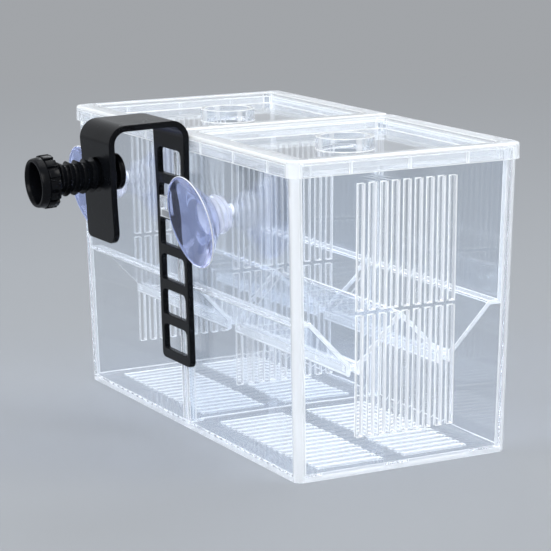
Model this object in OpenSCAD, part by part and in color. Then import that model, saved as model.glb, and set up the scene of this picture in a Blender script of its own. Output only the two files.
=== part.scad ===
// Hanging fish breeding box: a drafted clear tank with slotted ends and floor,
// split by a lift-out divider, with two W-floored fry trays, two lids, two suction
// cups and a ladder bracket whose screw clamps it to the wall of an aquarium.
// Millimetres. +Z is up, X runs along the tank, and -Y is the side that hangs on the glass.
// The origin is the middle of the tank's underside.

/* [Tank] */
// Outside length of the tank at its base
tank_l = 190; // [150:1:230]
// Outside width of the tank at its base
tank_w = 93; // [84:1:120]
// Height of the tank from its underside to its rim
tank_h = 120.2; // [112:0.1:140]
// Thickness of the tank's walls
wall_t = 2.5; // [2.2:0.1:3.2]
// Thickness of the tank's floor
floor_t = 2.5; // [1.8:0.1:4]
// Draft of the tank's walls, in degrees from upright
draft_deg = 1.3; // [0.5:0.1:1.6]
// Radius of the tank's upright outside corners
corner_r = 3.5; // [3:0.1:6]

/* [Water slots] */
// Width of each slot in the ends, the floor and the divider
slot_w = 2.3; // [1.5:0.1:3]
// Distance from one slot to the next
slot_pitch = 5; // [4:0.1:6]
// Number of slots side by side in each end and in the divider
slot_count = 9; // [5:1:11]
// Height of the lowest end of the slots above the underside
slot_low = 14.8; // [8:0.1:25]
// Height of the cross bar that parts the lower slots from the upper ones
slot_bar_z = 61.4; // [50:0.1:70]
// Height of that cross bar's section
slot_bar_h = 2; // [1.5:0.1:6]
// Height of the top of the upper slots in the ends
slot_high = 111.4; // [95:0.1:111.4]
// Length of each slot in the floor
floor_slot_l = 28; // [15:1:32]
// Width of the plain band along the middle of the floor
floor_band_w = 10; // [6:1:18]
// Plain length of floor between the end wall and the last slot
floor_end_band = 6.5; // [4:0.5:15]
// Distance from the divider's middle plane to the first floor slot
floor_slot_start = 9.5; // [7:0.5:11]

/* [Divider] */
// Thickness of the divider panel
divider_t = 2; // [1.5:0.1:3]
// How far the divider's top edge lies below the top of the lids
divider_sink = 0.4; // [0.2:0.1:2]
// Width of each of the two tabs that stand in the floor
divider_tab_w = 6; // [4:0.5:10]
// Thickness of the two ribs of each guide channel
guide_rib_t = 1.8; // [1.2:0.1:2.5]
// How far the guide ribs stand out from the wall
guide_rib_d = 3; // [2:0.1:4]
// Height of the top of the guide ribs above the underside
guide_top = 113; // [105:0.5:114]

/* [Fry trays] */
// Thickness of the tray's sheet
tray_t = 1.8; // [1.2:0.1:2.2]
// Height of the flat shelf and of the middle ridge
tray_shelf_z = 59.6; // [56:0.1:66]
// Height of the bottom of the two valleys
tray_valley_z = 42; // [36:0.1:46]
// Distance of each valley's middle from the middle plane
tray_valley_y = 20.3; // [18:0.1:22]
// Width of the flat shelf next to the wall
tray_shelf_w = 4.5; // [3:0.1:7]
// Width of the drop slot along the bottom of each valley
drop_slot_w = 3.2; // [2:0.1:5]
// How far the lips of the drop slot hang down
drop_lip_h = 3.4; // [2:0.1:5]
// Width of each bridge across the drop slot
bridge_w = 3; // [2:0.1:5]
// Number of bridges across each drop slot
bridge_count = 5; // [3:1:7]
// Thickness of the flange that hangs on the tank's rim
flange_t = 1.6; // [1.2:0.1:2.4]
// How far the flange reaches over the rim
flange_reach = 1.3; // [1:0.1:1.5]

/* [Lids] */
// Thickness of the top of the lid's rim
lid_top_t = 1.8; // [1.5:0.1:3]
// Thickness of the sunk panel
lid_panel_t = 1.6; // [1.2:0.1:2.5]
// Depth of the sunk panel below the top of the rim
lid_sink = 4.8; // [3:0.1:4.8]
// Thickness of the lid's outer skirt
skirt_t = 1; // [0.8:0.1:2]
// Depth of the outer skirt below the tank's rim
skirt_h = 4.7; // [3:0.1:6]
// Thickness of the wall round the sunk panel
lid_wall_t = 1.4; // [1:0.1:2]
// Rounding of the lid's top outer edge
lid_round = 1.2; // [0.6:0.1:1.5]
// Radius of the feed hole
feed_r = 9.7; // [6:0.1:14]
// Wall thickness of the feed hole's collar
feed_collar_t = 1.8; // [1.2:0.1:3]
// How far the collar stands above the top of the rim
feed_proud = 0.4; // [0:0.1:3]
// Number of grip ribs inside each long side of the skirt
grip_count = 3; // [2:1:5]

/* [Hanging bracket] */
// Width of the bracket's strip over its bridge
strip_w = 28.4; // [27:0.1:34]
// Width of its ladder and outer leg below the taper
leg_w = 26; // [24:0.5:27]
// Thickness of the bracket's strip
strip_t = 2.5; // [2.4:0.1:4]
// Clear gap between the ladder and the outer leg
clamp_gap = 29.3; // [22:0.1:34]
// Lean of the outer leg towards the tank, beyond the ladder's own lean, in degrees
leg_lean = 2; // [0:0.5:4]
// Height of the bracket's top above the underside
bracket_top = 128.5; // [126:0.5:140]
// Height of the lower end of the outer leg
outer_leg_low = 82; // [70:0.5:95]
// Distance of the bracket's middle in front of the divider
bracket_x = 3; // [-5:0.1:5]
// Inside radius of the two bends
bend_r = 5; // [3:0.5:8]
// Number of windows in the ladder
window_count = 6; // [4:1:6]
// Width of each window
window_w = 20.5; // [16:0.5:21]
// Height of each window
window_h = 10.3; // [9.8:0.1:12]
// Radius of the windows' upper corners
window_top_r = 2.5; // [1:0.1:4]
// Distance from one window to the next
window_pitch = 14.5; // [14.2:0.1:15]
// Height of the lower edge of the window that the hook is in
hook_window_z = 90.5; // [88:0.1:92]

/* [Hook] */
// Distance of the hook's middle in front of the divider
hook_x = 2; // [-4:0.1:4]
// Width of the hook on the tank's wall
hook_w = 9; // [6:0.1:10]
// Height of the hook's stem
hook_stem_h = 5.7; // [5:0.1:6]
// How far the hook's lip hangs below its stem
hook_lip_h = 3; // [1.5:0.1:3.4]
// Thickness of the hook's lip
hook_lip_t = 1.8; // [1.2:0.1:3]

/* [Clamp screw] */
// Radius of the screw over its thread
screw_r = 6.5; // [5:0.1:8]
// Distance of the screw's axis below the top of the bracket
screw_drop = 20; // [18:0.1:22]
// Length of screw between the outer leg and the knob when the clamp is open
screw_free = 16.8; // [12:0.1:25]
// Radius of the knob over its ribs
knob_r = 10.4; // [9:0.1:14]
// Length of the knob
knob_l = 9.7; // [9:0.1:18]
// Radius of the hollow in the end of the knob
knob_bore_r = 7.4; // [5:0.1:8]
// Depth of that hollow
knob_bore_d = 6.6; // [4:0.1:7]
// Number of grip grooves round the knob
knob_grooves = 12; // [8:1:16]
// Radius of the pad on the end of the screw
pad_r = 7.2; // [6:0.1:10]
// Thickness of the pad
pad_t = 2.6; // [2.4:0.1:4]
// Length of the threaded boss inside the outer leg
boss_l = 2.6; // [1.5:0.1:5]
// Distance of the pad from the boss when the clamp is open
pad_gap = 2; // [0.4:0.1:4]

/* [Suction cups] */
// Distance of the front cup from the front end of the tank's base
front_cup_inset = 49.2; // [35:0.1:52]
// Distance of the rear cup from the rear end of the tank's base
rear_cup_inset = 44.6; // [35:0.1:52]
// Height of the cups' pegs above the underside
cup_z = 96.4; // [80:0.1:98]
// Radius of the cup's rim
cup_r = 18.2; // [14:0.1:22]
// Distance from the wall to the cup's rim
cup_reach = 17; // [14:0.5:22]
// Depth of the hollow of the cup
cup_hollow = 5.2; // [4.6:0.1:6]
// Largest radius of the cup's barrel-shaped neck
cup_neck_r = 7.8; // [6:0.1:9]
// Radius of the peg that stands in the wall
cup_peg_r = 2.5; // [2:0.1:3.5]
// Droop of the cup below level, in degrees
cup_droop = 11; // [0:0.5:12]

/* [Fits] */
// Gap between pieces that slide in and out
slide_gap = 0.35; // [0.25:0.05:0.5]
// Gap between the divider and its guides
guide_gap = 0.25; // [0.15:0.05:0.4]
// Gap between the tank and the lid's skirt
skirt_gap = 0.4; // [0.3:0.05:0.6]
// Gap between a turning shaft and its hole
run_gap = 0.05; // [0.02:0.01:0.09]

/* [Hidden] */
$fn = 64;
hull_fn = 32;
over = 1;                       // how far a cut runs past the face that it opens
seat_gap = 0.05;                // gap under a piece that only rests on its seat
slope = tan(draft_deg);

clear_plastic = [0.86, 0.92, 0.97, 0.35];
clear_vinyl = [0.62, 0.72, 0.95, 0.55];
black_plastic = [0.05, 0.05, 0.06];

// Outside and inside half sizes of the drafted tank at height z
function out_x(z) = tank_l / 2 + slope * z;
function out_y(z) = tank_w / 2 + slope * z;
function in_x(z) = out_x(z) - wall_t;
function in_y(z) = out_y(z) - wall_t;

// Floor slots
floor_slot_count = floor((in_x(0) - floor_end_band - floor_slot_start - slot_w / 2) / slot_pitch) + 1;

// Lids
total_h = tank_h + lid_top_t;
lid_x = out_x(tank_h) + skirt_gap + skirt_t;
lid_y = out_y(tank_h) + skirt_gap + skirt_t;
lid_low = tank_h - skirt_h;
lid_joint = divider_t / 2 + slide_gap;
lid_corner_r = corner_r + skirt_gap + skirt_t;
lid_joint_r = 1.6;
panel_top = total_h - lid_sink;
panel_low = panel_top - lid_panel_t;
rim_end = skirt_t + skirt_gap + wall_t + slide_gap + lid_wall_t;
rim_side = rim_end + tray_t + slide_gap;
rim_joint = rim_end;
grip_rib_w = 1;
grip_rib_d = skirt_gap - 0.1;
feed_x = (lid_x + lid_joint) / 2;

// Divider and its guides
guide_half = divider_t / 2 + guide_gap;
guide_outer = guide_half + guide_rib_t;
divider_low = floor_t + seat_gap;
divider_top = total_h - divider_sink;
tab_outer_y = in_y(0) - slide_gap;

// Trays
tray_x0 = guide_outer + slide_gap;
corner_in_r = corner_r - wall_t / 2;
function tray_x1(z) = in_x(z) - corner_in_r;
rebate_low = tank_h - flange_t - seat_gap;
ridge_z = tray_shelf_z;

// Bracket
ladder_in = lid_y + slide_gap;
ladder_out = ladder_in + strip_t;
leg_in = ladder_out + clamp_gap;
leg_out = leg_in + strip_t;
bend_z = bracket_top - strip_t - bend_r;
taper_low = 98;                 // height below which the strip has its lower width
top_window = 1;                 // windows above the one that the hook is in
ladder_low = hook_window_z - (window_count - 1 - top_window) * window_pitch
             - (window_pitch - window_h);
leg_front_r = 5.5;
leg_rear_r = 2.5;
ladder_corner_r = 2.5;
window_low_r = 0.8;
boss_r = screw_r + 2;
boss_in = leg_in - boss_l;
screw_z = bracket_top - screw_drop;

// Suction cups
cup_base_r = cup_neck_r * 0.68;
cup_base = slide_gap + cup_base_r * (sin(cup_droop) + slope);
cup_peg_l = wall_t - 0.6;
// Place of the cup along X on either side of the divider
function cup_x(side) = side * (tank_l / 2 - (side > 0 ? front_cup_inset : rear_cup_inset));

// Hook
hook_low = hook_window_z + 0.2;
hook_lip_in = ladder_out + slide_gap;
hook_out = hook_lip_in + hook_lip_t;

// Clamp screw, seen along -Y: distances are positive away from the tank
pad_back = boss_in - pad_gap;
pad_face = pad_back - pad_t;
stub_r = 2.6;
stub_l = 1.6;
knob_in = leg_out + screw_free;
knob_out = knob_in + knob_l;
knob_groove_r = 1.1;
knob_neck_l = 2;

// A rectangle with round corners, centred on the origin
module round_rect(l, w, r) {
    square([l - 2 * r, w], center = true);
    square([l, w - 2 * r], center = true);
    for (sx = [-1, 1], sy = [-1, 1])
        translate([sx * (l / 2 - r), sy * (w / 2 - r)]) circle(r);
}

// A drafted block between two heights, inset all round from the tank's outside
module drafted_block(z0, z1, inset) {
    skin = 0.01;
    hull()
        for (z = [z0, z1 - skin])
            translate([0, 0, z])
                linear_extrude(skin)
                    round_rect(2 * (out_x(z) - inset), 2 * (out_y(z) - inset),
                               corner_r - inset / 2, $fn = hull_fn);
}

// A sheet section from p to q with round ends, for drawing a bent sheet
module sheet_line(p, q, t) {
    run = q - p;
    translate(p) rotate(atan2(run[1], run[0])) {
        translate([0, -t / 2]) square([norm(run), t]);
        circle(t / 2, $fn = hull_fn);
        translate([norm(run), 0]) circle(t / 2, $fn = hull_fn);
    }
}

// One panel's worth of upright slots, cut through along X at the given place
module upright_slots(x0, depth, high) {
    heights = [[slot_low, slot_bar_z], [slot_bar_z + slot_bar_h, high]];
    for (k = [0 : slot_count - 1], h = heights)
        translate([x0, (k - (slot_count - 1) / 2) * slot_pitch - slot_w / 2, h[0]])
            cube([depth, slot_w, h[1] - h[0]]);
}

// The slots of the floor: a row each side of the plain band, each side of the divider
module floor_slots() {
    for (half = [-1, 1], side = [-1, 1], k = [0 : floor_slot_count - 1])
        translate([half * (floor_slot_start + k * slot_pitch),
                   side * (floor_band_w + floor_slot_l) / 2, floor_t / 2])
            cube([slot_w, floor_slot_l, floor_t + 2 * over], center = true);
}

// Two ribs on each long wall that hold the edge of the divider
module guide_ribs() {
    for (sx = [-1, 1], sy = [-1, 1])
        translate([sx * (guide_half + guide_rib_t / 2), 0, 0])
            rotate([90, 0, 90])
                linear_extrude(guide_rib_t, center = true)
                    polygon([[sy * (in_y(0) + wall_t / 2), floor_t / 2],
                             [sy * (in_y(0) - guide_rib_d), floor_t / 2],
                             [sy * (in_y(guide_top) - guide_rib_d), guide_top],
                             [sy * (in_y(guide_top) + wall_t / 2), guide_top]]);
}

// Places what hangs by the ladder: it leans with the tank's wall, about the skirt's edge
module hung(x) {
    translate([x, -ladder_in, lid_low])
        rotate([draft_deg, 0, 0])
            translate([0, ladder_in, -lid_low]) children();
}

// Leans what the outer leg carries, about the top of its inner face
module leg_leaned() {
    translate([0, -leg_in, bend_z])
        rotate([leg_lean, 0, 0])
            translate([0, leg_in, -bend_z]) children();
}

// The hook that the ladder hangs on: a stem through the window and a lip in front of it
module hook() {
    root = out_y(0);
    hung(hook_x) rotate([90, 0, 90])
        linear_extrude(hook_w, center = true)
            polygon([[-root + wall_t / 2, hook_low],
                     [-root + wall_t / 2, hook_low + hook_stem_h],
                     [-hook_out, hook_low + hook_stem_h],
                     [-hook_out, hook_low - hook_lip_h],
                     [-hook_lip_in, hook_low - hook_lip_h],
                     [-hook_lip_in, hook_low]]);
}

module tank() color(clear_plastic) {
    difference() {
        union() {
            difference() {
                drafted_block(0, tank_h, 0);
                drafted_block(floor_t, tank_h + over, wall_t);
            }
            guide_ribs();
            difference() {
                hook();
                drafted_block(floor_t, tank_h + over, wall_t);
            }
        }
        // slots through both ends
        for (side = [-1, 1])
            translate([side * (out_x(tank_h) - wall_t), 0, 0])
                upright_slots(-2 * wall_t, 4 * wall_t, slot_high);
        floor_slots();
        // rebates in the rim for the trays' flanges
        for (side = [-1, 1])
            translate([0, side * (in_y(tank_h) + flange_reach / 2), tank_h])
                cube([2 * (tray_x1(tank_h) + slide_gap), flange_reach + 2 * slide_gap,
                      2 * (tank_h - rebate_low)], center = true);
        // slots in the floor for the divider's tabs
        for (side = [-1, 1])
            translate([0, side * (tab_outer_y - divider_tab_w / 2), floor_t / 2])
                cube([divider_t + 2 * guide_gap, divider_tab_w + 2 * guide_gap,
                      floor_t + 2 * over], center = true);
        // holes for the suction cups' pegs
        for (side = [-1, 1])
            translate([cup_x(side), -in_y(0) + wall_t, cup_z])
                rotate([90, 0, 0])
                    cylinder(r = cup_peg_r + run_gap, h = 6 * wall_t, center = true);
    }
}

module divider() color(clear_plastic) {
    difference() {
        union() {
            rotate([90, 0, 90])
                linear_extrude(divider_t, center = true)
                    polygon([for (end = [[-1, divider_low], [1, divider_low],
                                         [1, divider_top], [-1, divider_top]])
                             [end[0] * (in_y(end[1]) - slide_gap), end[1]]]);
            for (side = [-1, 1])
                translate([0, side * (tab_outer_y - divider_tab_w / 2), divider_low / 2 + 0.3])
                    cube([divider_t, divider_tab_w, divider_low], center = true);
        }
        upright_slots(-divider_t, 2 * divider_t, slot_high);
    }
}

// Half of the tray's section, from the flange to the middle ridge
module tray_half_section() {
    wall_foot = in_y(tray_shelf_z) - slide_gap - tray_t / 2;
    wall_head = in_y(tank_h) - slide_gap - tray_t / 2;
    shelf_in = wall_foot - tray_shelf_w;
    lip_y = drop_slot_w / 2 + tray_t / 2;
    lip_foot = tray_valley_z - drop_lip_h;
    sheet_line([wall_head, tank_h - tray_t / 2 - seat_gap], [wall_foot, tray_shelf_z], tray_t);
    sheet_line([wall_foot, tray_shelf_z], [shelf_in, tray_shelf_z], tray_t);
    sheet_line([shelf_in, tray_shelf_z], [tray_valley_y + lip_y, tray_valley_z], tray_t);
    sheet_line([tray_valley_y - lip_y, tray_valley_z], [0, ridge_z], tray_t);
    for (s = [-1, 1])
        sheet_line([tray_valley_y + s * lip_y, tray_valley_z],
                   [tray_valley_y + s * lip_y, lip_foot], tray_t);
    // flange over the tank's rim
    translate([wall_head - tray_t / 2, rebate_low + seat_gap])
        square([tray_t + slide_gap + flange_reach - slide_gap / 2, flange_t - seat_gap]);
}

// The tray of the front half; the rear one is its mirror image
module tray_body() {
    far_x = in_x(tank_h);
    bridge_first = tray_x0 + bridge_w;
    bridge_last = tray_x1(tray_valley_z) - bridge_w;
    intersection() {
        union() {
            rotate([90, 0, 90])
                linear_extrude(far_x)
                    union() {
                        tray_half_section();
                        mirror([1, 0]) tray_half_section();
                    }
            for (side = [-1, 1], k = [0 : bridge_count - 1])
                translate([bridge_first + k * (bridge_last - bridge_first) / (bridge_count - 1),
                           side * tray_valley_y, tray_valley_z - drop_lip_h / 2])
                    cube([bridge_w, drop_slot_w + tray_t, tray_t], center = true);
        }
        // the tray's ends: upright at the divider, drafted at the tank's end
        rotate([90, 0, 0])
            linear_extrude(4 * tank_w, center = true)
                polygon([[tray_x0, 0], [tray_x1(0), 0],
                         [tray_x1(tank_h), tank_h], [tray_x0, tank_h]]);
    }
}

module front_fry_tray() color(clear_plastic) tray_body();
module rear_fry_tray() color(clear_plastic) mirror([1, 0, 0]) tray_body();

// The lid's outline with its top edge rounded over, between two heights
module lid_block() {
    corners = [[lid_joint, -1, lid_joint_r], [lid_joint, 1, lid_joint_r],
               [lid_x, -1, lid_corner_r], [lid_x, 1, lid_corner_r]];
    hull()
        for (c = corners) {
            inward = c[0] == lid_x ? -1 : 1;
            round_over = min(lid_round, c[2] - 0.3);
            translate([c[0] + inward * c[2], c[1] * (lid_y - c[2]), lid_low])
                rotate_extrude($fn = hull_fn) {
                    square([c[2], total_h - lid_low - round_over]);
                    square([c[2] - round_over, total_h - lid_low]);
                    translate([c[2] - round_over, total_h - lid_low - round_over])
                        intersection() {
                            circle(round_over);
                            square(round_over);
                        }
                }
        }
}

// A round-cornered prism over the lid, set in from its four sides
module lid_prism(joint_in, end_in, side_in, r, z0, z1) {
    l = lid_x - lid_joint - joint_in - end_in;
    translate([lid_joint + joint_in + l / 2, 0, z0])
        linear_extrude(z1 - z0)
            round_rect(l, 2 * (lid_y - side_in), r);
}

// The channel under the rim that the tank's walls stand in, open towards the other lid
module lid_channel() {
    skirt_in = skirt_t;
    difference() {
        union() {
            lid_prism(0.0, skirt_in, skirt_in, corner_r + skirt_gap, lid_low - over, tank_h);
            translate([lid_joint - over, -lid_y + skirt_in, lid_low - over])
                cube([2 * lid_corner_r, 2 * (lid_y - skirt_in), tank_h - lid_low + over]);
        }
        lid_prism(rim_joint - lid_wall_t, rim_end - lid_wall_t, rim_side - lid_wall_t,
                  corner_r, lid_low - 2 * over, tank_h + over);
    }
}

module grip_ribs() {
    run = lid_x - lid_corner_r - 2 * rim_joint;
    for (side = [-1, 1], k = [0 : grip_count - 1])
        translate([2 * rim_joint + (k + 0.5) * run / grip_count,
                   side * (lid_y - skirt_t - grip_rib_d / 2), (lid_low + tank_h) / 2])
            cube([grip_rib_w, grip_rib_d + 0.2, tank_h - lid_low], center = true);
    for (side = [-1, 0, 1])
        translate([lid_x - skirt_t - grip_rib_d / 2, side * lid_y / 2, (lid_low + tank_h) / 2])
            cube([grip_rib_d + 0.2, grip_rib_w, tank_h - lid_low], center = true);
}

// The lid of the front half; the rear one is its mirror image
module lid_body() {
    difference() {
        union() {
            difference() {
                lid_block();
                lid_channel();
                // the sunk panel's pocket, from above
                lid_prism(rim_joint, rim_end, rim_side, corner_r - 0.5,
                          panel_top, total_h + over);
                // the underside of the panel
                lid_prism(rim_joint - lid_wall_t, rim_end - lid_wall_t,
                          rim_side - lid_wall_t, corner_r, lid_low - over, panel_low);
            }
            grip_ribs();
            translate([feed_x, 0, panel_low])
                cylinder(r = feed_r + feed_collar_t, h = total_h + feed_proud - panel_low);
        }
        translate([feed_x, 0, panel_low - over])
            cylinder(r = feed_r, h = total_h + feed_proud - panel_low + 2 * over);
    }
}

module front_lid() color(clear_plastic) lid_body();
module rear_lid() color(clear_plastic) mirror([1, 0, 0]) lid_body();

// A quarter of a ring, for the strip's bends
module quarter_ring(r, t) {
    intersection() {
        difference() {
            circle(r + t);
            circle(r);
        }
        square(r + t);
    }
}

// The strip's side view: ladder, bridge and the outer leg, which leans below its bend
module strip_section() {
    lean_t = strip_t * cos(leg_lean);
    foot = [-leg_in + (bend_z - outer_leg_low) * sin(leg_lean),
            bend_z - (bend_z - outer_leg_low) * cos(leg_lean)];
    translate([-ladder_out, ladder_low]) square([strip_t, bend_z - ladder_low]);
    translate([-leg_in + bend_r, bracket_top - strip_t])
        square([clamp_gap - 2 * bend_r, strip_t]);
    translate([-ladder_out - bend_r, bend_z]) quarter_ring(bend_r, strip_t);
    translate([-leg_in + bend_r, bend_z]) {
        mirror([1, 0]) quarter_ring(bend_r, strip_t);
        translate([leg_in - bend_r, -bend_z])
            polygon([[-leg_in, bend_z], [-leg_out, bend_z],
                     foot - lean_t * [cos(leg_lean), sin(leg_lean)], foot]);
    }
}

// The strip's outline from the front, wider over the bridge than lower down, as a block
module strip_taper(low) {
    rotate([90, 0, 0])
        linear_extrude(4 * leg_out, center = true)
            polygon([[-leg_w / 2, low], [leg_w / 2, low], [leg_w / 2, taper_low],
                     [strip_w / 2, bend_z], [strip_w / 2, bracket_top + over],
                     [-strip_w / 2, bracket_top + over], [-strip_w / 2, bend_z],
                     [-leg_w / 2, taper_low]]);
}

// The piece cut away to round one lower corner of a leg, at the origin
module corner_cut(r, depth) {
    rotate([90, 0, 0])
        linear_extrude(depth, center = true)
            difference() {
                translate([-over, -over]) square(r + over);
                translate([r, r]) circle(r);
            }
}

// One window of the ladder, with its upper corners more rounded than its lower ones
module window_outline() {
    for (side = [-1, 1]) {
        translate([side * (window_w / 2 - window_low_r), window_low_r - window_h / 2])
            circle(window_low_r, $fn = hull_fn);
        translate([side * (window_w / 2 - window_top_r), window_h / 2 - window_top_r])
            circle(window_top_r, $fn = hull_fn);
    }
    translate([0, (window_low_r - window_top_r) / 2])
        square([window_w, window_h - window_low_r - window_top_r], center = true);
    translate([0, -window_h / 4])
        square([window_w - 2 * window_low_r, window_h / 2], center = true);
    square([window_w - 2 * window_top_r, window_h], center = true);
}

// Rounds off both lower corners of a leg, given the middle of its thickness and its end
module lower_corners(y, low, rear_r, front_r) {
    translate([-leg_w / 2, y, low]) corner_cut(rear_r, 3 * strip_t);
    mirror([1, 0, 0]) translate([-leg_w / 2, y, low]) corner_cut(front_r, 3 * strip_t);
}

module hanging_bracket() color(black_plastic) hung(bracket_x) {
    difference() {
        union() {
            intersection() {
                rotate([90, 0, 90])
                    linear_extrude(strip_w, center = true) strip_section();
                strip_taper(min(ladder_low, outer_leg_low) - strip_t);
            }
            leg_leaned()
                translate([0, -boss_in, screw_z])
                    rotate([90, 0, 0]) cylinder(r = boss_r, h = boss_l + strip_t / 2);
        }
        for (k = [0 : window_count - 1])
            translate([0, -(ladder_in + ladder_out) / 2,
                       hook_window_z + window_h / 2 + (top_window - k) * window_pitch])
                rotate([90, 0, 0])
                    linear_extrude(strip_t + 2 * over, center = true) window_outline();
        lower_corners(-(ladder_in + ladder_out) / 2, ladder_low,
                      ladder_corner_r, ladder_corner_r);
        leg_leaned() {
            lower_corners(-(leg_in + leg_out) / 2, outer_leg_low, leg_rear_r, leg_front_r);
            translate([0, -boss_in + over, screw_z])
                rotate([90, 0, 0])
                    cylinder(r = screw_r + run_gap, h = boss_l + strip_t + 2 * over);
        }
    }
}

// The knob's side view, from its end towards the screw
module knob_section() {
    polygon([[0, 0], [screw_r, 0], [knob_r - 1.6, knob_neck_l], [knob_r, knob_neck_l + 1.2],
             [knob_r, knob_l - 3.2], [knob_r - 0.8, knob_l - 1], [knob_r - 1.2, knob_l],
             [knob_bore_r + 0.5, knob_l], [knob_bore_r, knob_l - 0.5],
             [knob_bore_r, knob_l - knob_bore_d], [0, knob_l - knob_bore_d]]);
}

module clamp_screw() color(black_plastic) hung(bracket_x) leg_leaned() {
    translate([0, -knob_in, screw_z])
        rotate([90, 0, 0])
            difference() {
                rotate_extrude() knob_section();
                for (k = [0 : knob_grooves - 1])
                    rotate(k * 360 / knob_grooves)
                        translate([knob_r + knob_groove_r * 0.3, 0, knob_neck_l])
                            cylinder(r = knob_groove_r, h = knob_l - 3 - knob_neck_l,
                                     $fn = hull_fn);
            }
    translate([0, -pad_back - seat_gap, screw_z])
        rotate([90, 0, 0]) cylinder(r = screw_r, h = knob_in + over - pad_back);
    translate([0, -pad_back + stub_l, screw_z])
        rotate([90, 0, 0]) cylinder(r = stub_r, h = 2 * stub_l);
}

module clamp_pad() color(black_plastic) hung(bracket_x) leg_leaned() {
    translate([0, -pad_face, screw_z])
        rotate([90, 0, 0])
            difference() {
                rotate_extrude()
                    polygon([[0, 0], [pad_r - 0.6, 0], [pad_r, 0.6], [pad_r, pad_t - 0.4],
                             [pad_r - 0.4, pad_t], [0, pad_t]]);
                translate([0, 0, pad_t - stub_l - 0.2])
                    cylinder(r = stub_r + run_gap, h = stub_l + over);
            }
}

// The cup's section: along Y runs the distance from the wall
module cup_section() {
    lip_t = 0.8;
    neck_end = cup_reach / 2;
    hollow_low = cup_reach - cup_hollow;
    polygon([[0, cup_base], [cup_base_r, cup_base], [cup_neck_r * 0.86, cup_base + 1.3],
             [cup_neck_r * 0.97, cup_base + 3.2], [cup_neck_r, cup_base + 5],
             [cup_neck_r * 0.95, neck_end],
             [cup_r * 0.72, cup_reach - 4.4], [cup_r - 0.7, cup_reach - lip_t],
             [cup_r, cup_reach - 0.3], [cup_r - 0.3, cup_reach],
             [cup_r * 0.82, cup_reach - cup_hollow * 0.22],
             [cup_r * 0.6, cup_reach - cup_hollow * 0.58],
             [cup_r * 0.4, hollow_low + cup_hollow * 0.14],
             [cup_r * 0.25, hollow_low], [0, hollow_low]]);
}

module suction_cup(side) color(clear_vinyl) {
    face_y = out_y(cup_z);
    translate([cup_x(side), -face_y, cup_z]) {
        rotate([90 + cup_droop, 0, 0]) rotate_extrude() cup_section();
        rotate([90, 0, 0])
            translate([0, 0, -cup_peg_l])
                cylinder(r = cup_peg_r, h = cup_peg_l + cup_base + 1);
    }
}

module front_suction_cup() suction_cup(1);
module rear_suction_cup() suction_cup(-1);

tank();
divider();
front_lid();
rear_lid();
front_fry_tray();
rear_fry_tray();
hanging_bracket();
clamp_screw();
clamp_pad();
front_suction_cup();
rear_suction_cup();
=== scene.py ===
"""Looks for a hanging fish breeding box: clear acrylic tank, lids, divider and fry trays,
soft vinyl suction cups, and a black ladder bracket with its clamp screw.

Every shape is in metres, in the frame that the solids were packed in.
"""

import logging
import math
from dataclasses import dataclass, field
from enum import Enum, IntEnum
from typing import Any, Callable, Iterable, Iterator, Sequence

import bmesh
import bpy
from mathutils import Matrix, Vector


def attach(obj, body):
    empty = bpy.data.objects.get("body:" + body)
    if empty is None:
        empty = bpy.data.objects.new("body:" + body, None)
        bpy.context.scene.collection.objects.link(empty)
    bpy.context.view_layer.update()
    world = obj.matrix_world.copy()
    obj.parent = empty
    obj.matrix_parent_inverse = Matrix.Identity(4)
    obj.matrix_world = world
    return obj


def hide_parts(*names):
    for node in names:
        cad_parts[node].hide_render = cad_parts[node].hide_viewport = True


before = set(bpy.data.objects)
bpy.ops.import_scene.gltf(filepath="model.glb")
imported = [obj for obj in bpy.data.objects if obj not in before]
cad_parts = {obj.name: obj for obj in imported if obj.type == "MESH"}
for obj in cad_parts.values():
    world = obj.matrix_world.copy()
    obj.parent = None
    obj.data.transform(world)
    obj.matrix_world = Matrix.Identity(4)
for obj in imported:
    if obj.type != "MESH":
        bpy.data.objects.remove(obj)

LOG = logging.getLogger("breeding_box")
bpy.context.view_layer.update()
MM = 0.001
Number = float | int
Colour = tuple[float, float, float]
WALL_DRAFT = 1.3
LEG_LEAN = 2.0
BRACKET_SHIFT = 3.0 * MM
SKIRT_EDGE = Vector((0, -50.978 * MM, 115.5 * MM))
BEND_END = Vector((0, -82.778 * MM, 121.0 * MM))
SAME_PLACE = 1e-6


def leaning(degrees: float, pivot: Vector) -> Matrix:
    """Turn about the X direction through a pivot.

    Args:
        degrees: The lean.
        pivot: The point that stays in place.

    Returns:
        The turn.
    """
    turn = Matrix.Rotation(math.radians(degrees), 4, "X")
    return Matrix.Translation(pivot) @ turn @ Matrix.Translation(-pivot)


# The bracket and its clamp lean with the tank's wall, about the edge of the lid's skirt
HUNG = Matrix.Translation((BRACKET_SHIFT, 0, 0)) @ leaning(WALL_DRAFT, SKIRT_EDGE)
# The outer leg and its clamp lean further, about the end of the bracket's bend
CLAMPED = HUNG @ leaning(LEG_LEAN, BEND_END)


# ---------------------------------------------------------------- shader graphs


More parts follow.
